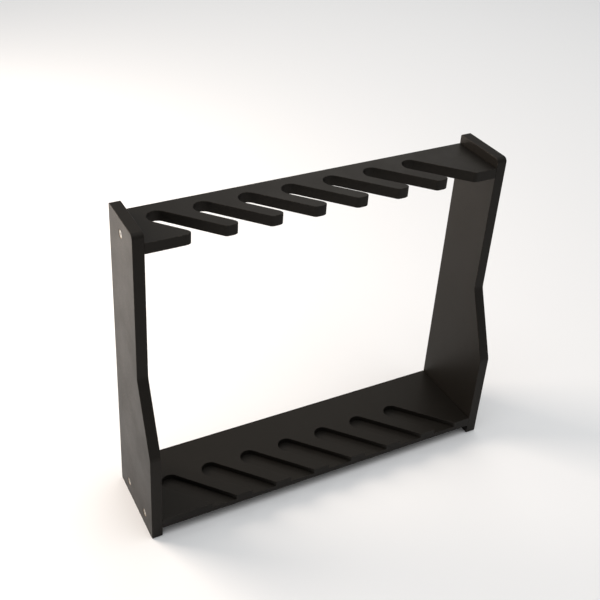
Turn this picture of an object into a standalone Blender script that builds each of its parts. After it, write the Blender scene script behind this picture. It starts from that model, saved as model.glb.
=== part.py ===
"""Slotted upright rack: two side panels carry a slotted top rail and a grooved base shelf.

Metres, +Z up. The rack faces -Y and stands on Z = 0. The origin is on the floor, midway
between the panels and midway along the depth of their feet.
"""
import math

import bmesh
import bpy
from mathutils import Vector

# Overall size
WIDTH = 0.315
HEIGHT = 0.270
TOP_DEPTH = 0.050
BASE_DEPTH = 0.074

# Side panels: straight at the top and the bottom, with a flare between
PANEL_THICKNESS = 0.009
FLARE_TOP = 0.145
FLARE_BOTTOM = 0.084
FLARE_RADIUS = 0.010
TOP_CORNER_RADIUS = 0.004
BOTTOM_CORNER_RADIUS = 0.0015

# Top rail and base shelf
RAIL_THICKNESS = 0.009
RAIL_DROP = 0.008
SHELF_THICKNESS = 0.009
FOOT_HEIGHT = 0.009

# Places: a slot through the rail above a groove in the shelf, both slanting to the right
PLACE_START = 0.021
PLACE_PITCH = 0.036
SLANT = math.radians(43.0)
SLOT_WIDTH = 0.016
SLOT_BACK = 0.0185
GROOVE_WIDTH = 0.016
GROOVE_DEPTH = 0.0045
LEAN = 0.020
END_BLOCK = 0.012
TIP_RADIUS = 0.004
TIP_SHARE = 0.95

# Countersunk wood screws, and where they stand, measured from the boards' back edges
SCREW_LENGTH = 0.020
HEAD_RADIUS = 0.00275
HEAD_EDGE = 0.0002
HEAD_RECESS = 0.0003
THREAD_RADIUS = 0.0015
ROOT_RADIUS = 0.0011
THREAD_PITCH = 0.0014
THREAD_TURNS = 7
TIP_LENGTH = 0.0025
CROSS_SPAN = 0.0032
CROSS_ROOT_WIDTH = 0.0010
CROSS_TIP_WIDTH = 0.0007
CROSS_DEPTH = 0.0011
PILOT_SPARE = 0.001
RAIL_SCREW_BACK = 0.025
SHELF_SCREW_BACKS = (0.020, 0.057)

# Wooden locating pins, hidden in the rail's ends
PIN_RADIUS = 0.002
PIN_LENGTH = 0.014
PIN_IN_PANEL = 0.005
PIN_CHAMFER = 0.0004
PIN_SPARE = 0.0005

# Clearance between pieces that touch, how far a cutter stands out, how finely arcs are cut, and
# how near two points are when they are one
GAP = 0.0003
OVERSHOOT = 0.004
ARC_STEP = math.radians(15.0)
WELD = 0.000001
TURNED_WELD = 0.00001
SCREW_SIDES = 16
PIN_SIDES = 20
BORE_SIDES = 24

# Finishes
PAINT_COLOUR = (0.022, 0.020, 0.018)
PAINT_ROUGHNESS = 0.55
STEEL_COLOUR = (0.60, 0.59, 0.57)
STEEL_ROUGHNESS = 0.35
BEECH_COLOUR = (0.55, 0.38, 0.22)
BEECH_ROUGHNESS = 0.60

# Planes and lengths that follow from the sizes above
BACK = BASE_DEPTH / 2.0
FOOT_FRONT = -BASE_DEPTH / 2.0
TOP_FRONT = BACK - TOP_DEPTH
INNER = WIDTH / 2.0 - PANEL_THICKNESS
BOARD_HALF = INNER - GAP
RAIL_TOP = HEIGHT - RAIL_DROP
RAIL_MIDDLE = RAIL_TOP - RAIL_THICKNESS / 2.0
SHELF_TOP = FOOT_HEIGHT + SHELF_THICKNESS
SHELF_MIDDLE = FOOT_HEIGHT + SHELF_THICKNESS / 2.0
BORE_RADIUS = THREAD_RADIUS + GAP
CONE_GAP = GAP * math.sqrt(2.0)
SINK_RADIUS = HEAD_RADIUS + CONE_GAP + HEAD_EDGE + HEAD_RECESS


def clear_scene():
    for item in list(bpy.data.objects):
        bpy.data.objects.remove(item)


def new_collection(name):
    group = bpy.data.collections.new(name)
    bpy.context.scene.collection.children.link(group)
    return group


def new_material(name, colour, roughness, metallic):
    material = bpy.data.materials.new(name)
    material.use_nodes = True
    shader = material.node_tree.nodes["Principled BSDF"]
    shader.inputs["Base Color"].default_value = (*colour, 1.0)
    shader.inputs["Roughness"].default_value = roughness
    shader.inputs["Metallic"].default_value = metallic
    return material


def rounded(corners):
    """Outline points for (x, y, radius) corners, with an arc wherever the radius isn't zero."""
    points = []
    for index, (x, y, radius) in enumerate(corners):
        corner = Vector((x, y))
        if radius == 0.0:
            points.append(corner)
            continue
        before = (Vector(corners[index - 1][:2]) - corner).normalized()
        after = (Vector(corners[(index + 1) % len(corners)][:2]) - corner).normalized()
        half = before.angle(after) / 2.0
        centre = corner + (before + after).normalized() * radius / math.sin(half)
        start = corner + before * radius / math.tan(half) - centre
        sweep = start.angle_signed(corner + after * radius / math.tan(half) - centre)
        steps = max(2, math.ceil(abs(sweep) / ARC_STEP))
        for step in range(steps + 1):
            turn = -sweep * step / steps
            point = centre + Vector((
                start.x * math.cos(turn) - start.y * math.sin(turn),
                start.x * math.sin(turn) + start.y * math.cos(turn),
            ))
            if step > 0 or not points or (point - points[-1]).length > WELD:
                points.append(point)
    return points


def plate(name, corners, thickness, group, material=None):
    """A flat board with the given outline in its own XY plane, centred on it in thickness."""
    curve = bpy.data.curves.new(name, "CURVE")
    curve.dimensions = "2D"
    curve.fill_mode = "NONE"
    curve.extrude = thickness / 2.0
    points = rounded(corners)
    spline = curve.splines.new("POLY")
    spline.points.add(len(points) - 1)
    for slot, point in zip(spline.points, points):
        slot.co = (point.x, point.y, 0.0, 1.0)
    spline.use_cyclic_u = True
    outline = bpy.data.objects.new(name + "_outline", curve)
    group.objects.link(outline)
    graph = bpy.context.evaluated_depsgraph_get()
    mesh = bpy.data.meshes.new_from_object(outline.evaluated_get(graph))
    bpy.data.objects.remove(outline)
    welded = bmesh.new()
    welded.from_mesh(mesh)
    bmesh.ops.remove_doubles(welded, verts=welded.verts, dist=WELD)
    bmesh.ops.holes_fill(welded, edges=welded.edges, sides=0)
    bmesh.ops.recalc_face_normals(welded, faces=welded.faces)
    welded.to_mesh(mesh)
    welded.free()
    return add_object(name, mesh, group, material)


def turned(name, profile, sides, group, material=None):
    """A solid of revolution about its own Z axis from (radius, z) points, top to bottom."""
    mesh = bpy.data.meshes.new(name)
    lathe = bmesh.new()
    rim = [lathe.verts.new((radius, 0.0, z)) for radius, z in profile]
    for upper, lower in zip(rim, rim[1:]):
        lathe.edges.new((upper, lower))
    lathe.to_mesh(mesh)
    lathe.free()
    piece = add_object(name, mesh, group, material)
    turn = piece.modifiers.new("Turn", "SCREW")
    turn.axis = "Z"
    turn.steps = sides
    turn.render_steps = sides
    turn.use_merge_vertices = True
    turn.merge_threshold = TURNED_WELD
    turn.use_smooth_shade = True
    return piece


def add_object(name, mesh, group, material):
    piece = bpy.data.objects.new(name, mesh)
    group.objects.link(piece)
    if material is None:
        piece.display_type = "WIRE"
        piece.hide_render = True
    else:
        mesh.materials.append(material)
    return piece


def cut(piece, cutter):
    boolean = piece.modifiers.new(cutter.name, "BOOLEAN")
    boolean.operation = "DIFFERENCE"
    boolean.object = cutter


def place_count():
    """As many places as fit at the pitch, with a block left at the right end of both boards."""
    run = max(TOP_DEPTH - SLOT_BACK, BASE_DEPTH - SLOT_BACK - LEAN)
    mouth = run * math.tan(SLANT) + max(SLOT_WIDTH, GROOVE_WIDTH) / 2.0 / math.cos(SLANT)
    room = 2.0 * INNER - PLACE_START - mouth - END_BLOCK
    return int(room / PLACE_PITCH) + 1


def place_corners(index, width, back_distance, front, tip_radius):
    """The four corners of one place, from the left of its mouth round its end to the right."""
    half = width / 2.0
    along = Vector((math.sin(SLANT), -math.cos(SLANT)))
    across = Vector((math.cos(SLANT), math.sin(SLANT)))
    centre = Vector((PLACE_START + index * PLACE_PITCH - INNER, BACK - back_distance))
    corners = []
    for side in (-1.0, 1.0):
        edge = centre + across * half * side
        mouth = edge + along * (edge.y - front) / math.cos(SLANT)
        end = edge - along * half
        pair = [(mouth.x, mouth.y, tip_radius), (end.x, end.y, half)]
        corners += pair if side < 0.0 else pair[::-1]
    return corners


def finger_tip_radius():
    """The tips' corner radius, limited by the straight front of a finger."""
    front = PLACE_PITCH - SLOT_WIDTH / math.cos(SLANT)
    acute = (math.pi / 2.0 - SLANT) / 2.0
    reach = 1.0 / math.tan(acute) + math.tan(acute)
    return min(TIP_RADIUS, TIP_SHARE * front / reach)


def make_panel(side, group, material):
    corners = [
        (FOOT_FRONT, 0.0, BOTTOM_CORNER_RADIUS),
        (BACK, 0.0, BOTTOM_CORNER_RADIUS),
        (BACK, HEIGHT, BOTTOM_CORNER_RADIUS),
        (TOP_FRONT, HEIGHT, TOP_CORNER_RADIUS),
        (TOP_FRONT, FLARE_TOP, FLARE_RADIUS),
        (FOOT_FRONT, FLARE_BOTTOM, FLARE_RADIUS),
    ]
    name = ("left" if side < 0.0 else "right") + "_side_panel"
    panel = plate(name, corners, PANEL_THICKNESS, group, material)
    panel.rotation_euler = (math.pi / 2.0, 0.0, math.pi / 2.0)
    panel.location = (side * (INNER + PANEL_THICKNESS / 2.0), 0.0, 0.0)
    return panel


def make_rail(group, material):
    corners = [
        (BOARD_HALF, BACK, 0.0),
        (-BOARD_HALF, BACK, 0.0),
        (-BOARD_HALF, TOP_FRONT, 0.0),
    ]
    tip_radius = finger_tip_radius()
    for index in range(place_count()):
        corners += place_corners(index, SLOT_WIDTH, SLOT_BACK, TOP_FRONT, tip_radius)
    corners.append((BOARD_HALF, TOP_FRONT, 0.0))
    rail = plate("top_slotted_rail", corners, RAIL_THICKNESS, group, material)
    rail.location.z = RAIL_MIDDLE
    return rail


def make_shelf(group, cutters, material):
    mesh = bpy.data.meshes.new("base_grooved_shelf")
    block = bmesh.new()
    bmesh.ops.create_cube(block, size=1.0)
    bmesh.ops.scale(block, vec=(2.0 * BOARD_HALF, BASE_DEPTH, SHELF_THICKNESS), verts=block.verts)
    block.to_mesh(mesh)
    block.free()
    shelf = add_object("base_grooved_shelf", mesh, group, material)
    shelf.location.z = SHELF_MIDDLE
    height = GROOVE_DEPTH + OVERSHOOT
    for index in range(place_count()):
        corners = place_corners(index, GROOVE_WIDTH, SLOT_BACK + LEAN, FOOT_FRONT - OVERSHOOT, 0.0)
        groove = plate("groove_cutter_%d" % (index + 1), corners, height, cutters)
        groove.location.z = SHELF_TOP - GROOVE_DEPTH + height / 2.0
        cut(shelf, groove)
    return shelf


def screw_profile():
    """Countersunk head, neck, rings for the thread and a point, with the panel's face at z = 0."""
    top = -HEAD_RECESS
    neck = top - HEAD_EDGE - (HEAD_RADIUS - ROOT_RADIUS)
    tip = top - SCREW_LENGTH
    thread_end = tip + TIP_LENGTH
    thread_start = thread_end + THREAD_TURNS * THREAD_PITCH
    profile = [
        (0.0, top),
        (HEAD_RADIUS, top),
        (HEAD_RADIUS, top - HEAD_EDGE),
        (ROOT_RADIUS, neck),
        (ROOT_RADIUS, thread_start),
    ]
    for turn in range(THREAD_TURNS):
        crest = thread_start - (turn + 0.5) * THREAD_PITCH
        profile.append((THREAD_RADIUS, crest))
        profile.append((ROOT_RADIUS, crest - THREAD_PITCH / 2.0))
    profile.append((0.0, tip))
    return profile


def bore_profile():
    """The countersink and the straight bore that the screw passes down."""
    return [
        (0.0, OVERSHOOT),
        (SINK_RADIUS, OVERSHOOT),
        (SINK_RADIUS, 0.0),
        (BORE_RADIUS, BORE_RADIUS - SINK_RADIUS),
        (BORE_RADIUS, -HEAD_RECESS - SCREW_LENGTH - PILOT_SPARE),
        (0.0, -HEAD_RECESS - SCREW_LENGTH - PILOT_SPARE),
    ]


def cross_corners():
    """A plus sign whose arms narrow outwards, for the driver recess."""
    arm = CROSS_SPAN / 2.0
    root = CROSS_ROOT_WIDTH / 2.0
    tip = CROSS_TIP_WIDTH / 2.0
    quarter = [(tip, -arm), (root, -root), (arm, -tip)]
    corners = []
    for turn in range(4):
        for x, y in quarter:
            corners.append((x, y, 0.0))
        quarter = [(-y, x) for x, y in quarter]
    return corners


def make_screw(name, side, y, z, boards, group, cutters, material):
    """One screw through a side panel into the end of a board, and its bore in both."""
    recess = plate(name + "_cross_cutter", cross_corners(), 2.0 * CROSS_DEPTH, cutters)
    recess.location = (side * (WIDTH / 2.0 - HEAD_RECESS), y, z)
    bore = turned(name + "_bore_cutter", bore_profile(), BORE_SIDES, cutters)
    bore.location = (side * WIDTH / 2.0, y, z)
    screw = turned(name, screw_profile(), SCREW_SIDES, group, material)
    screw.location = (side * WIDTH / 2.0, y, z)
    for piece in (recess, bore, screw):
        piece.rotation_euler.y = side * math.pi / 2.0
    cut(screw, recess)
    for board in boards:
        cut(board, bore)


def make_pin(name, side, y, boards, group, cutters, material):
    """One pin that keeps the rail from turning on its screws, and its bore in both boards."""
    half = PIN_LENGTH / 2.0
    bevelled = PIN_RADIUS - PIN_CHAMFER
    body = [
        (0.0, half),
        (bevelled, half),
        (PIN_RADIUS, half - PIN_CHAMFER),
        (PIN_RADIUS, PIN_CHAMFER - half),
        (bevelled, -half),
        (0.0, -half),
    ]
    reach = half + PIN_SPARE
    bore_radius = PIN_RADIUS + GAP
    hollow = [(0.0, reach), (bore_radius, reach), (bore_radius, -reach), (0.0, -reach)]
    pin = turned(name, body, PIN_SIDES, group, material)
    bore = turned(name + "_bore_cutter", hollow, BORE_SIDES, cutters)
    for piece in (pin, bore):
        piece.location = (side * (INNER + PIN_IN_PANEL - half), y, RAIL_MIDDLE)
        piece.rotation_euler.y = side * math.pi / 2.0
    for board in boards:
        cut(board, bore)


def build():
    clear_scene()
    rack = new_collection("slotted_rack")
    cutters = new_collection("cutters")
    paint = new_material("black_paint", PAINT_COLOUR, PAINT_ROUGHNESS, 0.0)
    steel = new_material("screw_steel", STEEL_COLOUR, STEEL_ROUGHNESS, 1.0)
    beech = new_material("pin_wood", BEECH_COLOUR, BEECH_ROUGHNESS, 0.0)

    rail = make_rail(rack, paint)
    shelf = make_shelf(rack, cutters, paint)
    pin_y = BACK - (RAIL_SCREW_BACK + TOP_DEPTH) / 2.0
    rail_y = BACK - RAIL_SCREW_BACK
    for side, word in ((-1.0, "left"), (1.0, "right")):
        panel = make_panel(side, rack, paint)
        boards = (panel, rail)
        make_screw(word + "_rail_screw", side, rail_y, RAIL_MIDDLE, boards, rack, cutters, steel)
        boards = (panel, shelf)
        for place, distance in zip(("rear", "front"), SHELF_SCREW_BACKS):
            name = "%s_shelf_%s_screw" % (word, place)
            y = BACK - distance
            make_screw(name, side, y, SHELF_MIDDLE, boards, rack, cutters, steel)
        make_pin(word + "_rail_pin", side, pin_y, (panel, rail), rack, cutters, beech)


build()
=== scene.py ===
"""Slotted rack in painted fibreboard: two flared panels carry a slotted rail and a shelf.

Metres, +Z up, front towards -Y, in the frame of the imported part.
"""
import math

import bmesh
import bpy
from mathutils import Matrix, Vector


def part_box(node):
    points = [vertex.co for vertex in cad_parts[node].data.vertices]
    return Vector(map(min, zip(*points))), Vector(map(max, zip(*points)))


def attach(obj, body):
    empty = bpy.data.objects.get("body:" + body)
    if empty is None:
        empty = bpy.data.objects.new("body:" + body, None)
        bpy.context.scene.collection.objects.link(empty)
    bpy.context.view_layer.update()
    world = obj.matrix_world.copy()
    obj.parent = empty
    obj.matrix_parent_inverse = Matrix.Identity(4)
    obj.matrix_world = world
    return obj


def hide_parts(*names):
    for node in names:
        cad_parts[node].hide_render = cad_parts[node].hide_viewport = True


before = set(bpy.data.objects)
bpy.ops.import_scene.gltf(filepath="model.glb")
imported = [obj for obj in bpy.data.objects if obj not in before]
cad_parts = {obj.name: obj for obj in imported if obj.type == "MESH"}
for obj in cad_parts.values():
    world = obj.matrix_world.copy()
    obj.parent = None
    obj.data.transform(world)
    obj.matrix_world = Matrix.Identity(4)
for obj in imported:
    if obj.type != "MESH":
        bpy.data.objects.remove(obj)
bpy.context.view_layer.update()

# ---- Side panels ----------------------------------------------------------------------------
# Two uprights sawn from 9 mm fibreboard: straight at the back, with a short flare that brings the
# foot forward. The arrises are rubbed down and the board is sprayed satin black. The screw holes
# are drilled and countersunk through the paint, so bare board shows inside them.
panel_low, panel_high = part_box("left_side_panel")
BACK = panel_high.y
FOOT_FRONT = panel_low.y
TOP_FRONT = BACK - 0.050
HEIGHT = panel_high.z
PANEL_THICKNESS = panel_high.x - panel_low.x
INNER = abs(panel_high.x)
OUTER = abs(panel_low.x)
FLARE_TOP = 0.145
FLARE_BOTTOM = 0.084
FLARE_RADIUS = 0.010
TOP_CORNER = 0.004
FOOT_CORNER = 0.0015
ARRIS = 0.00045
ARRIS_STEPS = 3
SHARP_ENOUGH = 0.6
ARC_STEP = math.radians(8.0)
FACET_ANGLE = math.radians(35.0)
WELD = 0.000001

BORE_RADIUS = 0.0018
SINK_RADIUS = 0.0032
SCREW_LENGTH = 0.020
HEAD_DEPTH = 0.0003
BORE_SPARE = 0.001
BORE_END = HEAD_DEPTH + SCREW_LENGTH + BORE_SPARE
BORE_SIDES = 32
MOUTH_CHAMFER = 0.00015
RAIL_SCREW_Y = BACK - 0.025
SHELF_SCREW_Y = {"rear": BACK - 0.020, "front": BACK - 0.057}
PIN_RADIUS = 0.002
PIN_LENGTH = 0.014
PIN_IN_PANEL = 0.005
PIN_SPARE = 0.0005
PIN_CLEARANCE = 0.0003
PIN_Y = BACK - 0.0375

rail_low, rail_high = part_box("top_slotted_rail")
shelf_low, shelf_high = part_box("base_grooved_shelf")
RAIL_MIDDLE = (rail_low.z + rail_high.z) / 2.0
SHELF_MIDDLE = (shelf_low.z + shelf_high.z) / 2.0


def round_corner(board, corner, radius):
    """Rounds one corner of a flat outline with an arc of the given radius."""
    ends = [edge.other_vert(corner).co - corner.co for edge in corner.link_edges]
    half = ends[0].angle(ends[1]) / 2.0
    sweep = math.pi - 2.0 * half
    bmesh.ops.bevel(
        board,
        geom=[corner],
        offset=radius / math.tan(half),
        offset_type="OFFSET",
        segments=max(2, math.ceil(sweep / ARC_STEP)),
        profile=0.5,
        affect="VERTICES",
        clamp_overlap=False,
        material=-1,
    )


def outline(board, corners):
    """One flat face at z = 0 from (x, y, radius) corners. Returns it and the square corners."""
    points = [board.verts.new((x, y, 0.0)) for x, y, radius in corners]
    board.faces.new(points)
    for point, (x, y, radius) in zip(points, corners):
        if radius > 0.0:
            round_corner(board, point, radius)
    bmesh.ops.remove_doubles(board, verts=board.verts, dist=WELD)
    board.faces.ensure_lookup_table()
    return board.faces[0], [p for p, (x, y, radius) in zip(points, corners) if radius == 0.0]


def extrude_along_z(board, faces, height):
    """Extrudes faces by a height, and leaves the faces themselves where they are."""
    made = bmesh.ops.extrude_face_region(board, geom=faces, use_keep_orig=True)
    moved = [item for item in made["geom"] if isinstance(item, bmesh.types.BMVert)]
    bmesh.ops.translate(board, vec=(0.0, 0.0, height), verts=moved)


def thicken(board, thickness):
    """Turns a flat face into a board centred on z = 0."""
    bmesh.ops.translate(board, vec=(0.0, 0.0, -thickness / 2.0), verts=board.verts)
    extrude_along_z(board, board.faces[:], thickness)
    bmesh.ops.recalc_face_normals(board, faces=board.faces)


def ease_arrises(board, width):
    """Rounds over every outside edge, and marks the middle of the rounding for wear."""
    mark = board.verts.layers.float.new("arris")
    sharp = [edge for edge in board.edges if edge.calc_face_angle_signed() > SHARP_ENOUGH]
    made = bmesh.ops.bevel(
        board,
        geom=sharp,
        offset=width,
        offset_type="OFFSET",
        segments=ARRIS_STEPS,
        profile=0.5,
        affect="EDGES",
        clamp_overlap=False,
        miter_outer="ARC",
        material=-1,
    )
    rounding = set(made["faces"])
    for vert in made["verts"]:
        if vert.is_valid and all(face in rounding for face in vert.link_faces):
            vert[mark] = 1.0


def mark_sawn_edges(board):
    """Gives each face its share of sawn edge: 0 on the broad faces, 1 on the edges."""
    mark = board.faces.layers.float.new("sawn")
    board.faces.layers.float.new("bare")
    for face in board.faces:
        face[mark] = 1.0 - abs(face.normal.z)


def lathe(turned, profile, start, along, sides):
    """Spins (depth, radius) points about a line from start in the direction of along."""
    side = Vector((0.0, 0.0, 1.0))
    points = [turned.verts.new(start + along * depth + side * radius) for depth, radius in profile]
    edges = [turned.edges.new(pair) for pair in zip(points, points[1:])]
    bmesh.ops.spin(
        turned,
        geom=points + edges,
        cent=start,
        axis=along,
        angle=2.0 * math.pi,
        steps=sides,
        use_merge=True,
    )
    bmesh.ops.remove_doubles(turned, verts=turned.verts, dist=WELD)
    bmesh.ops.recalc_face_normals(turned, faces=turned.faces)


def new_object(name, shape):
    """Puts a bmesh into the scene as an object at the origin."""
    mesh = bpy.data.meshes.new(name)
    shape.to_mesh(mesh)
    shape.free()
    piece = bpy.data.objects.new(name, mesh)
    bpy.context.scene.collection.objects.link(piece)
    return piece


def cut_away(piece, cutter):
    """Takes the cutter's shape out of a piece for good, and removes the cutter."""
    boolean = piece.modifiers.new("cut", "BOOLEAN")
    boolean.operation = "DIFFERENCE"
    boolean.solver = "EXACT"
    boolean.use_self = True
    boolean.object = cutter
    graph = bpy.context.evaluated_depsgraph_get()
    shaped = bpy.data.meshes.new_from_object(piece.evaluated_get(graph))
    piece.modifiers.clear()
    old = piece.data
    piece.data = shaped
    bpy.data.meshes.remove(old)
    bpy.data.objects.remove(cutter)


def drill(piece, side, screws, pins):
    """Drills a board for the screws and pins that enter from one side, and marks the bare wood."""
    along = Vector((-side, 0.0, 0.0))
    bits = bmesh.new()
    screw_profile = [
        (-SINK_RADIUS, 0.0),
        (-SINK_RADIUS, SINK_RADIUS + MOUTH_CHAMFER),
        (0.0, SINK_RADIUS + MOUTH_CHAMFER),
        (MOUTH_CHAMFER, SINK_RADIUS),
        (MOUTH_CHAMFER + SINK_RADIUS - BORE_RADIUS, BORE_RADIUS),
        (BORE_END, BORE_RADIUS),
        (BORE_END, 0.0),
    ]
    pin_radius = PIN_RADIUS + PIN_CLEARANCE
    pin_start = PANEL_THICKNESS - PIN_IN_PANEL - PIN_SPARE
    pin_end = pin_start + PIN_LENGTH + 2.0 * PIN_SPARE
    pin_profile = [(pin_start, 0.0), (pin_start, pin_radius), (pin_end, pin_radius), (pin_end, 0.0)]
    for y, z in screws:
        lathe(bits, screw_profile, Vector((side * OUTER, y, z)), along, BORE_SIDES)
    for y, z in pins:
        lathe(bits, pin_profile, Vector((side * OUTER, y, z)), along, BORE_SIDES)
    cut_away(piece, new_object("drill_bits", bits))
    board = bmesh.new()
    board.from_mesh(piece.data)
    mark = board.faces.layers.float["bare"]
    for face in board.faces:
        centre = face.calc_center_median()
        depth = OUTER - side * centre.x
        for y, z in screws + pins:
            off_axis = math.hypot(centre.y - y, centre.z - z)
            if off_axis < SINK_RADIUS and WELD < depth < BORE_END + WELD:
                face[mark] = 1.0
    board.to_mesh(piece.data)
    board.free()


def smooth(piece, sharp_angle=FACET_ANGLE):
    """Smooth shading that keeps real corners, with the broad faces left flat."""
    piece.data.shade_smooth()
    piece.data.set_sharp_from_angle(angle=sharp_angle)
    weights = piece.modifiers.new("flat_faces", "WEIGHTED_NORMAL")
    weights.keep_sharp = True
    weights.weight = 100


def fit_piece(piece, material, node):
    """Gives a finished piece its material, hangs it on the root body and hides the CAD node it
    stands for.
    """
    piece.data.materials.clear()
    piece.data.materials.append(material)
    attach(piece, "root")
    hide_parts(node)


def add_node(tree, kind, sockets, **settings):
    """A shader node with its settings and its sockets filled or linked."""
    node = tree.nodes.new(kind)
    for key, value in settings.items():
        setattr(node, key, value)
    for key, value in sockets.items():
        if isinstance(value, bpy.types.NodeSocket):
            tree.links.new(value, node.inputs[key])
        else:
            node.inputs[key].default_value = value
    return node


def noise(tree, where, scale, detail, roughness):
    sockets = {"Vector": where, "Scale": scale, "Detail": detail, "Roughness": roughness}
    return add_node(tree, "ShaderNodeTexNoise", sockets).outputs["Fac"]


def ramp(tree, value, low, high, bottom=0.0, top=1.0):
    """Value taken from low..high to bottom..top, held at the ends."""
    sockets = {"Value": value, "From Min": low, "From Max": high, "To Min": bottom, "To Max": top}
    return add_node(tree, "ShaderNodeMapRange", sockets, interpolation_type="SMOOTHSTEP").outputs[0]


def calc(tree, operation, first, second):
    return add_node(tree, "ShaderNodeMath", {0: first, 1: second}, operation=operation).outputs[0]


def tint(tree, factor, first, second):
    """The first colour, turned to the second by the factor."""
    sockets = {0: factor, 6: first, 7: second}
    return add_node(tree, "ShaderNodeMix", sockets, data_type="RGBA").outputs[2]


def mix_value(tree, factor, first, second):
    """The first value, turned to the second by the factor."""
    sockets = {0: factor, 2: first, 3: second}
    return add_node(tree, "ShaderNodeMix", sockets, data_type="FLOAT").outputs[0]


def attribute(tree, name):
    return add_node(tree, "ShaderNodeAttribute", {}, attribute_name=name).outputs["Fac"]


def new_material(name):
    """A material with only its shader and output. Returns it, its tree, shader and place."""
    material = bpy.data.materials.new(name)
    material.use_nodes = True
    tree = material.node_tree
    shader = tree.nodes["Principled BSDF"]
    where = tree.nodes.new("ShaderNodeTexCoord").outputs["Object"]
    return material, tree, shader, where


DUST_COLOUR = (0.30, 0.29, 0.27, 1.0)
DUST_PATCH_SCALE = 38.0
DUST_GRAIN_SCALE = 2600.0
DUST_ROUGHNESS = 0.4


def make_dust():
    """Fine dust on faces that look up, thin and uneven: used on the paint and on the steel."""
    group = bpy.data.node_groups.new("settled_dust", "ShaderNodeTree")
    face = group.interface
    face.new_socket("Color", in_out="INPUT", socket_type="NodeSocketColor")
    face.new_socket("Roughness", in_out="INPUT", socket_type="NodeSocketFloat")
    face.new_socket("Amount", in_out="INPUT", socket_type="NodeSocketFloat")
    face.new_socket("Color", in_out="OUTPUT", socket_type="NodeSocketColor")
    face.new_socket("Roughness", in_out="OUTPUT", socket_type="NodeSocketFloat")
    given = group.nodes.new("NodeGroupInput").outputs
    where = group.nodes.new("ShaderNodeTexCoord").outputs["Object"]
    normal = group.nodes.new("ShaderNodeNewGeometry").outputs["Normal"]
    upward = add_node(group, "ShaderNodeSeparateXYZ", {0: normal}).outputs["Z"]
    upward = ramp(group, upward, 0.3, 0.95)
    patches = ramp(group, noise(group, where, DUST_PATCH_SCALE, 3.0, 0.6), 0.35, 0.75)
    grains = ramp(group, noise(group, where, DUST_GRAIN_SCALE, 2.0, 0.7), 0.52, 0.72)
    cover = calc(group, "MULTIPLY", patches, grains)
    cover = calc(group, "MULTIPLY", cover, upward)
    cover = calc(group, "MULTIPLY", cover, given["Amount"])
    colour = tint(group, cover, given["Color"], DUST_COLOUR)
    rough = calc(group, "MULTIPLY", cover, DUST_ROUGHNESS)
    rough = calc(group, "ADD", rough, given["Roughness"])
    add_node(group, "NodeGroupOutput", {"Color": colour, "Roughness": rough})
    return group


def lay_dust(tree, dust, amount, colour, rough, shader):
    """Passes a finish through the dust group on its way to the shader."""
    dusted = tree.nodes.new("ShaderNodeGroup")
    dusted.node_tree = dust
    dusted.inputs["Amount"].default_value = amount
    tree.links.new(colour, dusted.inputs["Color"])
    tree.links.new(rough, dusted.inputs["Roughness"])
    tree.links.new(dusted.outputs["Color"], shader.inputs["Base Color"])
    tree.links.new(dusted.outputs["Roughness"], shader.inputs["Roughness"])


def roughen(tree, height, distance, strength, shader):
    """Gives the shader a bump from a height, as deep as the distance."""
    sockets = {"Height": height, "Distance": distance, "Strength": strength}
    bump = add_node(tree, "ShaderNodeBump", sockets)
    tree.links.new(bump.outputs["Normal"], shader.inputs["Normal"])


PAINT_DARK = (0.0050, 0.0044, 0.0036, 1.0)
PAINT_LIGHT = (0.0092, 0.0081, 0.0067, 1.0)
SAWN_DARK = (0.0040, 0.0035, 0.0029, 1.0)
SAWN_LIGHT = (0.0110, 0.0096, 0.0080, 1.0)
RUBBED_COLOUR = (0.045, 0.037, 0.030, 1.0)
BOARD_DARK = (0.26, 0.19, 0.13, 1.0)
BOARD_LIGHT = (0.46, 0.36, 0.26, 1.0)
BOARD_ROUGHNESS = 0.85
PAINT_IOR = 1.27
PAINT_SHEEN_TINT = (1.0, 0.92, 0.83, 1.0)
PAINT_DUST = 0.025
CLOUD_SCALE = 26.0
PEEL_SCALE = 1300.0
GRIT_SCALE = 3000.0
FIBRE_SCALE = 900.0
GRIT_HEIGHT = 2.2
PAINT_RELIEF = 0.00003


def make_paint(dust):
    """Satin black over fibreboard: fine peel on the faces, grit on sawn edges, rubbed arrises."""
    material, tree, shader, where = new_material("satin_black_paint")
    sawn = attribute(tree, "sawn")
    arris = attribute(tree, "arris")
    bare = attribute(tree, "bare")
    cloud = noise(tree, where, CLOUD_SCALE, 4.0, 0.6)
    peel = noise(tree, where, PEEL_SCALE, 2.0, 0.55)
    grit = noise(tree, where, GRIT_SCALE, 4.0, 0.7)
    fibre = noise(tree, where, FIBRE_SCALE, 3.0, 0.65)

    face_colour = tint(tree, cloud, PAINT_DARK, PAINT_LIGHT)
    edge_colour = tint(tree, ramp(tree, grit, 0.35, 0.70), SAWN_DARK, SAWN_LIGHT)
    colour = tint(tree, sawn, face_colour, edge_colour)
    rubbed = calc(tree, "MULTIPLY", arris, ramp(tree, fibre, 0.50, 0.68))
    colour = tint(tree, rubbed, colour, RUBBED_COLOUR)
    colour = tint(tree, bare, colour, tint(tree, grit, BOARD_DARK, BOARD_LIGHT))

    rough = ramp(tree, cloud, 0.30, 0.70, 0.40, 0.47)
    edge_rough = ramp(tree, grit, 0.30, 0.70, 0.50, 0.66)
    rough = mix_value(tree, sawn, rough, edge_rough)
    rough = mix_value(tree, bare, rough, BOARD_ROUGHNESS)
    lay_dust(tree, dust, PAINT_DUST, colour, rough, shader)

    coarse = calc(tree, "MULTIPLY", grit, GRIT_HEIGHT)
    height = mix_value(tree, calc(tree, "MAXIMUM", sawn, bare), peel, coarse)
    roughen(tree, height, PAINT_RELIEF, 0.6, shader)
    shader.inputs["IOR"].default_value = PAINT_IOR
    shader.inputs["Specular Tint"].default_value = PAINT_SHEEN_TINT
    return material


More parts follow.
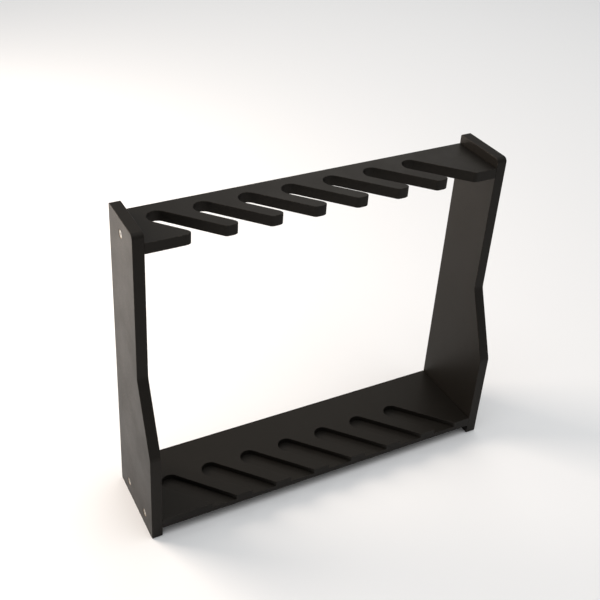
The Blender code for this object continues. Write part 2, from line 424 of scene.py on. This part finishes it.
settled_dust = make_dust()
black_paint = make_paint(settled_dust)

SIDES = {"left": -1.0, "right": 1.0}
for word, side in SIDES.items():
    board = bmesh.new()
    outline(board, [
        (FOOT_FRONT, 0.0, FOOT_CORNER),
        (BACK, 0.0, FOOT_CORNER),
        (BACK, HEIGHT, FOOT_CORNER),
        (TOP_FRONT, HEIGHT, TOP_CORNER),
        (TOP_FRONT, FLARE_TOP, FLARE_RADIUS),
        (FOOT_FRONT, FLARE_BOTTOM, FLARE_RADIUS),
    ])
    thicken(board, PANEL_THICKNESS)
    ease_arrises(board, ARRIS)
    mark_sawn_edges(board)
    upright = Matrix(((0.0, 0.0, 1.0), (1.0, 0.0, 0.0), (0.0, 1.0, 0.0))).to_4x4()
    upright.translation.x = side * (INNER + PANEL_THICKNESS / 2.0)
    bmesh.ops.transform(board, matrix=upright, verts=board.verts)
    panel = new_object("panel_" + word, board)
    holes = [(RAIL_SCREW_Y, RAIL_MIDDLE)] + [(y, SHELF_MIDDLE) for y in SHELF_SCREW_Y.values()]
    drill(panel, side, holes, [(PIN_Y, RAIL_MIDDLE)])
    smooth(panel)
    fit_piece(panel, black_paint, word + "_side_panel")

# ---- Slotted rail ---------------------------------------------------------------------------
# One 9 mm board between the panels near their tops. Seven round-ended slots are routed right
# through it from the front edge, all slanting to the right, and leave rounded fingers between.
JOINT_GAP = 0.00005
BOARD_END = INNER - JOINT_GAP
PLACES = 7
PLACE_START = 0.021
PLACE_PITCH = 0.036
SLANT = math.radians(43.0)
SLOT_WIDTH = 0.016
SLOT_END = BACK - 0.0185
FINGER_TIP = 0.004


def place_corners(index, end_y, front, tip):
    """One slot's (x, y, radius) corners, from the left of its mouth round its end to the right."""
    half = SLOT_WIDTH / 2.0
    along = Vector((math.sin(SLANT), -math.cos(SLANT)))
    across = Vector((math.cos(SLANT), math.sin(SLANT)))
    centre = Vector((PLACE_START + index * PLACE_PITCH - INNER, end_y))
    corners = []
    for turn in (-1.0, 1.0):
        edge = centre + across * half * turn
        mouth = edge + along * (edge.y - front) / math.cos(SLANT)
        end = edge - along * half
        pair = [(mouth.x, mouth.y, tip), (end.x, end.y, half)]
        corners += pair if turn < 0.0 else pair[::-1]
    return corners


def board_corners(end_y, front, tip):
    """A board's outline from its back right corner, with all the slots along its front."""
    corners = [(BOARD_END, BACK, 0.0), (-BOARD_END, BACK, 0.0), (-BOARD_END, front, 0.0)]
    for index in range(PLACES):
        corners += place_corners(index, end_y, front, tip)
    return corners + [(BOARD_END, front, 0.0)]


def drill_ends(piece, screws, pins):
    for side in SIDES.values():
        drill(piece, side, screws, pins)


board = bmesh.new()
outline(board, board_corners(SLOT_END, TOP_FRONT, FINGER_TIP))
thicken(board, rail_high.z - rail_low.z)
ease_arrises(board, ARRIS)
mark_sawn_edges(board)
bmesh.ops.translate(board, vec=(0.0, 0.0, RAIL_MIDDLE), verts=board.verts)
rail = new_object("slotted_rail", board)
drill_ends(rail, [(RAIL_SCREW_Y, RAIL_MIDDLE)], [(PIN_Y, RAIL_MIDDLE)])
smooth(rail)
fit_piece(rail, black_paint, "top_slotted_rail")

# ---- Grooved shelf --------------------------------------------------------------------------
# One 9 mm board between the panels near the floor. Seven blind grooves stand under the slots,
# 20 mm further forward, so that a shaft leans back a little. The router leaves crisp edges.
GROOVE_DEPTH = 0.0045
GROOVE_END = SLOT_END - 0.020
GROOVE_ARRIS = 0.0003
FLAT_ANGLE = 0.001

board = bmesh.new()
land, square = outline(board, board_corners(GROOVE_END, FOOT_FRONT, 0.0))
rim = list(land.verts)
mouths = [corner for corner in square if abs(corner.co.x) < BOARD_END - WELD]
for left, right in zip(mouths[0::2], mouths[1::2]):
    first, last = sorted((rim.index(left), rim.index(right)))
    board.faces.new(rim[first:last + 1])
extrude_along_z(board, board.faces[:], GROOVE_DEPTH - (shelf_high.z - shelf_low.z))
extrude_along_z(board, [land], GROOVE_DEPTH)
bmesh.ops.delete(board, geom=[land], context="FACES_ONLY")
bmesh.ops.recalc_face_normals(board, faces=board.faces)
bmesh.ops.dissolve_limit(board, angle_limit=FLAT_ANGLE, verts=board.verts, edges=board.edges)
ease_arrises(board, GROOVE_ARRIS)
mark_sawn_edges(board)
bmesh.ops.translate(board, vec=(0.0, 0.0, shelf_high.z - GROOVE_DEPTH), verts=board.verts)
shelf = new_object("grooved_shelf", board)
drill_ends(shelf, [(y, SHELF_MIDDLE) for y in SHELF_SCREW_Y.values()], [])
smooth(shelf)
fit_piece(shelf, black_paint, "base_grooved_shelf")

# ---- Screws ---------------------------------------------------------------------------------
# Six countersunk wood screws, 20 mm long, in zinc-plated steel. One holds each end of the rail
# and two hold each end of the shelf, with cross-recessed heads just below the panels' faces.
HEAD_RADIUS = 0.00275
HEAD_LAND = 0.0002
HEAD_ARRIS = 0.0001
THREAD_RADIUS = 0.0015
ROOT_RADIUS = 0.0011
THREAD_PITCH = 0.0014
THREAD_TURNS = 8
THREAD_STEPS = 20
THREAD_HALF = 0.00045
THREAD_ROOT = 0.85
THREAD_FADED = 0.9
POINT_LENGTH = 0.0030
POINT_TIP = 0.4
POINT_SHOULDER = 0.6
SCREW_SIDES = 40
SCREW_FACET_ANGLE = math.radians(30.0)
RECESS_SPAN = 0.0037
RECESS_WIDTH = 0.0010
RECESS_DEPTH = 0.0012
RECESS_TAPER = 0.45

ZINC_DARK = (0.34, 0.34, 0.33, 1.0)
ZINC_LIGHT = (0.52, 0.51, 0.48, 1.0)
ZINC_DUST = 0.2
ZINC_CLOUD_SCALE = 900.0
TURNING_SCALE = 5200.0
TURNING_RELIEF = 0.00001


def make_steel(dust):
    """Zinc plate: pale, a little cloudy, with fine turning marks in its gloss."""
    material, tree, shader, where = new_material("zinc_plated_steel")
    cloud = noise(tree, where, ZINC_CLOUD_SCALE, 3.0, 0.6)
    marks = noise(tree, where, TURNING_SCALE, 2.0, 0.5)
    colour = tint(tree, cloud, ZINC_DARK, ZINC_LIGHT)
    rough = ramp(tree, marks, 0.3, 0.7, 0.26, 0.44)
    lay_dust(tree, dust, ZINC_DUST, colour, rough, shader)
    roughen(tree, marks, TURNING_RELIEF, 0.5, shader)
    shader.inputs["Metallic"].default_value = 1.0
    return material


def make_recess(place, along):
    """The cutter for a cross recess: two tapered blades across each other."""
    blades = bmesh.new()
    for span, width in ((RECESS_SPAN, RECESS_WIDTH), (RECESS_WIDTH, RECESS_SPAN)):
        made = bmesh.ops.create_cube(blades, size=1.0)["verts"]
        bmesh.ops.scale(blades, vec=(2.0 * RECESS_DEPTH, span, width), verts=made)
        inside = [vert for vert in made if vert.co.x * along.x > 0.0]
        bmesh.ops.scale(blades, vec=(1.0, RECESS_TAPER, RECESS_TAPER), verts=inside)
    bmesh.ops.translate(blades, vec=place, verts=blades.verts)
    return new_object("recess_blades", blades)


def add_thread(ridge_mesh, start, along):
    """A helical ridge with its foot inside the shank, which fades out at its two ends."""
    first = SCREW_LENGTH - POINT_LENGTH * POINT_TIP
    reach = THREAD_RADIUS - ROOT_RADIUS
    sunk = ROOT_RADIUS * THREAD_ROOT
    up = Vector((0.0, 0.0, 1.0))
    corners = [(first + THREAD_HALF, sunk), (first, THREAD_RADIUS), (first - THREAD_HALF, sunk)]
    points = [ridge_mesh.verts.new(start + along * near + up * radius) for near, radius in corners]
    ridge = ridge_mesh.faces.new(points)
    bmesh.ops.spin(
        ridge_mesh,
        geom=[ridge] + list(ridge.edges) + points,
        cent=start,
        axis=along,
        dvec=-along * THREAD_PITCH / THREAD_STEPS,
        angle=2.0 * math.pi * THREAD_TURNS,
        steps=THREAD_TURNS * THREAD_STEPS,
    )
    last = first - THREAD_TURNS * THREAD_PITCH
    for vert in ridge_mesh.verts:
        depth = (vert.co - start).dot(along)
        spoke = vert.co - start - along * depth
        if spoke.length > ROOT_RADIUS:
            fade = min(1.0, max(0.0, (SCREW_LENGTH - depth) / POINT_LENGTH))
            fade = min(fade, max(0.0, (depth - last) / THREAD_PITCH))
            crest = ROOT_RADIUS * THREAD_FADED + reach * fade
            vert.co = start + along * depth + spoke.normalized() * crest


zinc_steel = make_steel(settled_dust)


def make_screw(name, side, y, z, node):
    """A screw with its head in a panel's outer face, and which CAD node it stands for."""
    along = Vector((-side, 0.0, 0.0))
    start = Vector((side * (OUTER - HEAD_DEPTH), y, z))
    neck = HEAD_LAND + HEAD_RADIUS - ROOT_RADIUS
    shank = bmesh.new()
    lathe(shank, [
        (0.0, 0.0),
        (0.0, HEAD_RADIUS - HEAD_ARRIS),
        (HEAD_ARRIS / 2.0, HEAD_RADIUS),
        (HEAD_LAND, HEAD_RADIUS),
        (neck, ROOT_RADIUS),
        (SCREW_LENGTH - POINT_LENGTH, ROOT_RADIUS),
        (SCREW_LENGTH - POINT_LENGTH * POINT_TIP, ROOT_RADIUS * POINT_SHOULDER),
        (SCREW_LENGTH, 0.0),
    ], start, along, SCREW_SIDES)
    screw = new_object(name, shank)
    cut_away(screw, make_recess(start, along))
    thread = bmesh.new()
    add_thread(thread, start, along)
    bmesh.ops.recalc_face_normals(thread, faces=thread.faces)
    whole = bmesh.new()
    whole.from_mesh(screw.data)
    ridge = bpy.data.meshes.new("thread")
    thread.to_mesh(ridge)
    thread.free()
    whole.from_mesh(ridge)
    bpy.data.meshes.remove(ridge)
    whole.to_mesh(screw.data)
    whole.free()
    smooth(screw, SCREW_FACET_ANGLE)
    fit_piece(screw, zinc_steel, node)


for word, side in SIDES.items():
    make_screw("screw_rail_" + word, side, RAIL_SCREW_Y, RAIL_MIDDLE, word + "_rail_screw")
    for place, y in SHELF_SCREW_Y.items():
        node = "%s_shelf_%s_screw" % (word, place)
        make_screw("screw_shelf_%s_%s" % (place, word), side, y, SHELF_MIDDLE, node)

# ---- Locating pins --------------------------------------------------------------------------
# Two fluted beech pins, 4 mm by 14 mm, glued in the rail's ends beside the screws so that the
# rail can't turn. Their ends are chamfered, and the flutes let the glue out of the hole.
FLUTES = 16
FLUTE_DEPTH = 0.00014
PIN_CHAMFER = 0.0005

BEECH_DARK = (0.50, 0.33, 0.19, 1.0)
BEECH_LIGHT = (0.66, 0.47, 0.29, 1.0)
FLECK_COLOUR = (0.33, 0.19, 0.10, 1.0)
GRAIN_STRETCH = (0.12, 1.0, 1.0)
GRAIN_SCALE = 1800.0
FLECK_SCALE = 4200.0
GRAIN_RELIEF = 0.00004


def make_beech():
    """Straight-grained beech with short dark flecks, bare and unpolished."""
    material, tree, shader, where = new_material("bare_beech")
    mapping = add_node(tree, "ShaderNodeMapping", {"Vector": where, "Scale": GRAIN_STRETCH})
    lengthwise = mapping.outputs[0]
    grain = noise(tree, lengthwise, GRAIN_SCALE, 4.0, 0.6)
    flecks = ramp(tree, noise(tree, lengthwise, FLECK_SCALE, 2.0, 0.5), 0.60, 0.72)
    colour = tint(tree, grain, BEECH_DARK, BEECH_LIGHT)
    colour = tint(tree, flecks, colour, FLECK_COLOUR)
    tree.links.new(colour, shader.inputs["Base Color"])
    tree.links.new(ramp(tree, grain, 0.3, 0.7, 0.55, 0.75), shader.inputs["Roughness"])
    roughen(tree, grain, GRAIN_RELIEF, 0.6, shader)
    return material


beech = make_beech()
for word, side in SIDES.items():
    pin = bmesh.new()
    rim = bmesh.ops.create_circle(pin, cap_ends=True, radius=PIN_RADIUS, segments=4 * FLUTES)
    for vert in rim["verts"][::4]:
        vert.co *= 1.0 - FLUTE_DEPTH / PIN_RADIUS
    thicken(pin, PIN_LENGTH)
    ends = [edge for edge in pin.edges if abs(edge.verts[0].co.z - edge.verts[1].co.z) < WELD]
    bmesh.ops.bevel(
        pin, geom=ends, offset=PIN_CHAMFER, segments=2, profile=0.5, affect="EDGES", material=-1
    )
    middle = Vector((side * (INNER + PIN_IN_PANEL - PIN_LENGTH / 2.0), PIN_Y, RAIL_MIDDLE))
    bmesh.ops.transform(
        pin,
        matrix=Matrix.Translation(middle) @ Matrix.Rotation(math.pi / 2.0, 4, "Y"),
        verts=pin.verts,
    )
    dowel = new_object("pin_" + word, pin)
    smooth(dowel)
    fit_piece(dowel, beech, word + "_rail_pin")

# ---- Floor, light and camera ----------------------------------------------------------------
# A plain pale floor under a large soft light from above, a small warm one low at the left rear
# and a weak one from the right rear. The camera stands above and to the left of the rack, where
# its rail, shelf and left panel all show.
FLOOR_SIZE = 6.0
ROOM_LIGHT = 0.35
BACKDROP_LIGHT = 0.85

ground = bmesh.new()
bmesh.ops.create_grid(ground, x_segments=1, y_segments=1, size=FLOOR_SIZE / 2.0)
floor = new_object("floor", ground)
floor_material, tree, shader = new_material("pale_floor")[:3]
shader.inputs["Base Color"].default_value = (0.86, 0.86, 0.86, 1.0)
shader.inputs["Roughness"].default_value = 0.8
below = tree.nodes.new("ShaderNodeNewGeometry").outputs["Backfacing"]
clear = tree.nodes.new("ShaderNodeBsdfTransparent").outputs[0]
mixed = add_node(tree, "ShaderNodeMixShader", {0: below, 1: shader.outputs[0], 2: clear})
tree.links.new(mixed.outputs[0], tree.nodes["Material Output"].inputs["Surface"])
floor.data.materials.append(floor_material)

world = bpy.data.worlds.new("soft_studio")
world.use_nodes = True
backdrop = world.node_tree.nodes["Background"]
backdrop.inputs["Color"].default_value = (1.0, 1.0, 1.0, 1.0)
seen = world.node_tree.nodes.new("ShaderNodeLightPath").outputs["Is Camera Ray"]
glow = ramp(world.node_tree, seen, 0.0, 1.0, ROOM_LIGHT, BACKDROP_LIGHT)
world.node_tree.links.new(glow, backdrop.inputs["Strength"])
bpy.context.scene.world = world
bpy.context.scene.view_settings.view_transform = "Standard"

RACK_MIDDLE = (0.0, 0.0, HEIGHT / 2.0)


def soft_light(name, place, aim, size, power, colour):
    """A square soft light that looks from its place at its aim, and isn't seen itself."""
    lamp = bpy.data.lights.new(name, "AREA")
    lamp.shape = "SQUARE"
    lamp.size = size
    lamp.energy = power
    lamp.color = colour
    light = bpy.data.objects.new(name, lamp)
    light.location = place
    light.visible_camera = False
    light.rotation_euler = (Vector(aim) - Vector(place)).to_track_quat("-Z", "Y").to_euler()
    bpy.context.scene.collection.objects.link(light)


soft_light("left_softbox", (-0.62, 0.60, 0.45), (-0.25, 0.25, 0.0), 0.5, 9.0, (1.0, 0.87, 0.76))
soft_light("back_softbox", (0.70, 1.15, 1.00), RACK_MIDDLE, 0.7, 1.5, (1.0, 0.94, 0.86))
soft_light("top_softbox", (0.4, -0.4, 4.0), RACK_MIDDLE, 4.4, 108.0, (0.96, 0.98, 1.0))

CAMERA_PLACE = Vector((-0.3309, -0.5417, 0.6113))
CAMERA_AIM = Vector((-0.0560, 0.0, 0.2424))
CAMERA_ROLL = math.radians(2.43)
lens = bpy.data.cameras.new("camera")
lens.lens = 57.89
lens.sensor_width = 36.0
lens.shift_x = 0.07
lens.shift_y = -0.113
camera = bpy.data.objects.new("camera", lens)
turn = (CAMERA_AIM - CAMERA_PLACE).to_track_quat("-Z", "Y").to_matrix().to_4x4()
camera.matrix_world = Matrix.Translation(CAMERA_PLACE) @ turn @ Matrix.Rotation(CAMERA_ROLL, 4, "Z")
bpy.context.scene.collection.objects.link(camera)
bpy.context.scene.camera = camera
